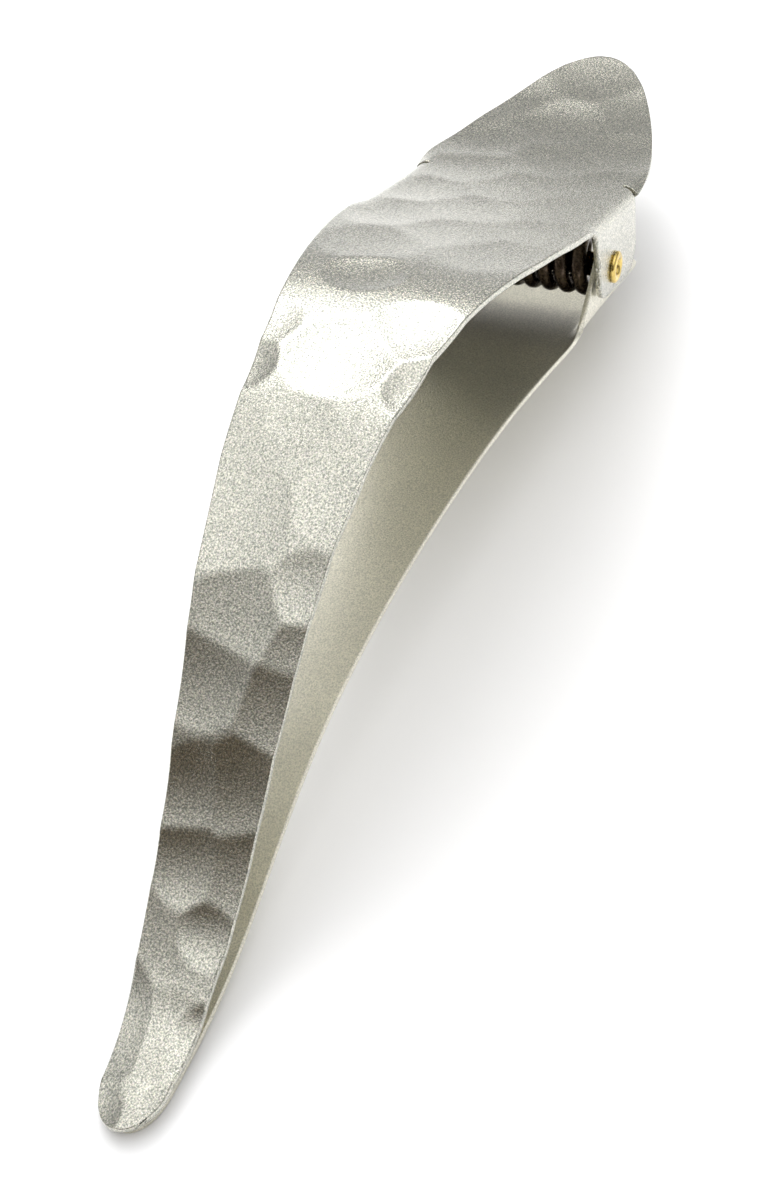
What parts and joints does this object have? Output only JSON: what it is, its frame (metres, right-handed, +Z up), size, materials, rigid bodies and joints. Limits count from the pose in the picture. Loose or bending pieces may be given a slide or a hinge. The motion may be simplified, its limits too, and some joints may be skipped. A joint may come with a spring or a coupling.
{
  "type": "alligator hair clip",
  "caption": "Sprung alligator hair clip: hammered arched upper jaw over a plain lower jaw, both hinged on a tubular pin, with a coil spring that presses the pointed tips together.",
  "frame": {"origin": "under the middle of the clip's overall length and width, on the surface that the lower jaw lies on", "axes": "+X towards the pointed tip of the jaws, +Y along the hinge pin, +Z up"},
  "size_m": [0.1222, 0.0238, 0.0289],
  "materials": {
    "hammered_sheet": "hammered facets with a fine frosted grain, pale warm silver",
    "plain_sheet": "plain frosted sheet, pale warm silver",
    "pin_brass": "polished",
    "spring_wire": "dark drawn wire"
  },
  "bodies": {
    "lower": {"lower_jaw": "plain_sheet", "torsion_spring": "spring_wire"},
    "upper": {"upper_jaw": "hammered_sheet", "hinge_pin": "pin_brass"}
  },
  "joints": [
    {"name": "jaw_hinge", "type": "hinge", "parent": "lower", "child": "upper", "pos_m": [-0.0259, 0, 0.0131], "axis": [0, -1, 0], "range_deg": [0, 25], "stiffness_Nm_per_rad": 0.25, "springref_deg": -28.65, "deforming": ["torsion_spring"]}
  ]
}
